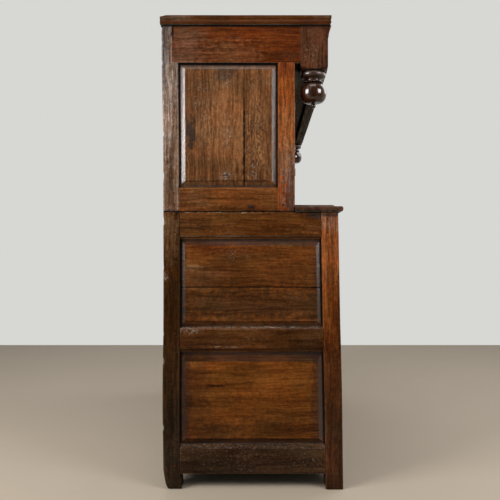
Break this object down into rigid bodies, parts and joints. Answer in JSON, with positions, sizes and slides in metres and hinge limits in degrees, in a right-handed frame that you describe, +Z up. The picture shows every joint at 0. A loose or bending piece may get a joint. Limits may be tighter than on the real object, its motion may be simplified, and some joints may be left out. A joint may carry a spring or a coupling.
{
  "type": "court cupboard",
  "caption": "Two-stage joined oak cupboard with a recessed upper part under a canopy with turned pendants, panelled doors above and below, and drawers at the waist.",
  "frame": {"origin": "on the floor, in the middle of the footprint", "axes": "+X to the viewer's right of the front, -Y to the front, +Z up"},
  "size_m": [1.42, 0.6427, 1.62],
  "materials": {
    "oak_frame": "dark red-brown oak with an old wax polish",
    "oak_panels": "dark red-brown oak with an old wax polish, a little lighter",
    "oak_turned": "turned oak, nearly black, polished by hands",
    "oak_inside": "dry unpolished oak boards",
    "iron": "hand-forged iron, blackened"
  },
  "bodies": {
    "carcase": {"base_back": "oak_inside", "base_centre_panel": "oak_panels", "base_floor": "oak_inside", "base_front_muntins": "oak_frame", "base_front_posts": "oak_frame", "base_front_rails": "oak_frame", "base_lower_side_panels": "oak_panels", "base_rear_posts": "oak_frame", "base_side_rails": "oak_frame", "base_upper_side_panels": "oak_panels", "cornice_mouldings": "oak_frame", "door_stops": "oak_inside", "drawer_runners": "oak_inside", "frieze_rails": "oak_frame", "hinge_fixed_leaves": "iron", "ledge_board": "oak_frame", "pendant_posts": "oak_frame", "soffit_board": "oak_inside", "top_boards": "oak_inside", "upper_back": "oak_inside", "upper_centre_panel": "oak_panels", "upper_floor": "oak_inside", "upper_front_rails": "oak_frame", "upper_front_stiles": "oak_frame", "upper_muntins": "oak_frame", "upper_rear_posts": "oak_frame", "upper_side_panels": "oak_panels", "upper_side_rails": "oak_frame"},
    "base_left_door": {"base_left_door_frame": "oak_frame", "base_left_door_panel": "oak_panels", "base_left_door_hinge_leaves": "iron"},
    "base_left_latch": {"base_left_door_knob": "oak_turned", "base_left_door_turn_button": "oak_turned"},
    "base_right_door": {"base_right_door_frame": "oak_frame", "base_right_door_panel": "oak_panels", "base_right_door_hinge_leaves": "iron"},
    "base_right_latch": {"base_right_door_knob": "oak_turned", "base_right_door_turn_button": "oak_turned"},
    "upper_left_door": {"upper_left_door_frame": "oak_frame", "upper_left_door_panel": "oak_panels", "upper_left_door_hinge_leaves": "iron"},
    "upper_left_latch": {"upper_left_door_knob": "oak_turned", "upper_left_door_turn_button": "oak_turned"},
    "upper_right_door": {"upper_right_door_frame": "oak_frame", "upper_right_door_panel": "oak_panels", "upper_right_door_hinge_leaves": "iron"},
    "upper_right_latch": {"upper_right_door_knob": "oak_turned", "upper_right_door_turn_button": "oak_turned"},
    "left_drawer": {"left_drawer_front": "oak_frame", "left_drawer_sides": "oak_inside", "left_drawer_bottom": "oak_inside", "left_drawer_knob": "oak_turned"},
    "centre_drawer": {"centre_drawer_front": "oak_frame", "centre_drawer_sides": "oak_inside", "centre_drawer_bottom": "oak_inside", "centre_drawer_knob": "oak_turned"},
    "right_drawer": {"right_drawer_front": "oak_frame", "right_drawer_sides": "oak_inside", "right_drawer_bottom": "oak_inside", "right_drawer_knob": "oak_turned"}
  },
  "joints": [
    {"name": "base_left_door_hinge", "type": "hinge", "parent": "carcase", "child": "base_left_door", "pos_m": [-0.624, -0.29675, 0.42764], "axis": [0, -0.0175, -0.9998], "range_deg": [0, 160]},
    {"name": "base_right_door_hinge", "type": "hinge", "parent": "carcase", "child": "base_right_door", "pos_m": [0.624, -0.29675, 0.42764], "axis": [0, 0.0175, 0.9998], "range_deg": [0, 160]},
    {"name": "base_left_latch_turn", "type": "hinge", "parent": "base_left_door", "child": "base_left_latch", "pos_m": [-0.2923, -0.29256, 0.46183], "axis": [0, -0.9998, 0.0175], "range_deg": [0, 90]},
    {"name": "base_right_latch_turn", "type": "hinge", "parent": "base_right_door", "child": "base_right_latch", "pos_m": [0.2923, -0.29256, 0.46183], "axis": [0, 0.9998, -0.0175], "range_deg": [0, 90]},
    {"name": "upper_left_door_hinge", "type": "hinge", "parent": "carcase", "child": "upper_left_door", "pos_m": [-0.602, -0.1386, 1.2185], "axis": [0, 0, -1], "range_deg": [0, 90]},
    {"name": "upper_right_door_hinge", "type": "hinge", "parent": "carcase", "child": "upper_right_door", "pos_m": [0.602, -0.1386, 1.2185], "axis": [0, 0, 1], "range_deg": [0, 90]},
    {"name": "upper_left_latch_turn", "type": "hinge", "parent": "upper_left_door", "child": "upper_left_latch", "pos_m": [-0.2923, -0.135, 1.24004], "axis": [0, -1, 0], "range_deg": [0, 90]},
    {"name": "upper_right_latch_turn", "type": "hinge", "parent": "upper_right_door", "child": "upper_right_latch", "pos_m": [0.2923, -0.135, 1.24004], "axis": [0, 1, 0], "range_deg": [0, 90]},
    {"name": "left_drawer_slide", "type": "slide", "parent": "carcase", "child": "left_drawer", "axis": [0, -1, 0], "range_m": [0, 0.33]},
    {"name": "centre_drawer_slide", "type": "slide", "parent": "carcase", "child": "centre_drawer", "axis": [0, -1, 0], "range_m": [0, 0.33]},
    {"name": "right_drawer_slide", "type": "slide", "parent": "carcase", "child": "right_drawer", "axis": [0, -1, 0], "range_m": [0, 0.33]}
  ]
}
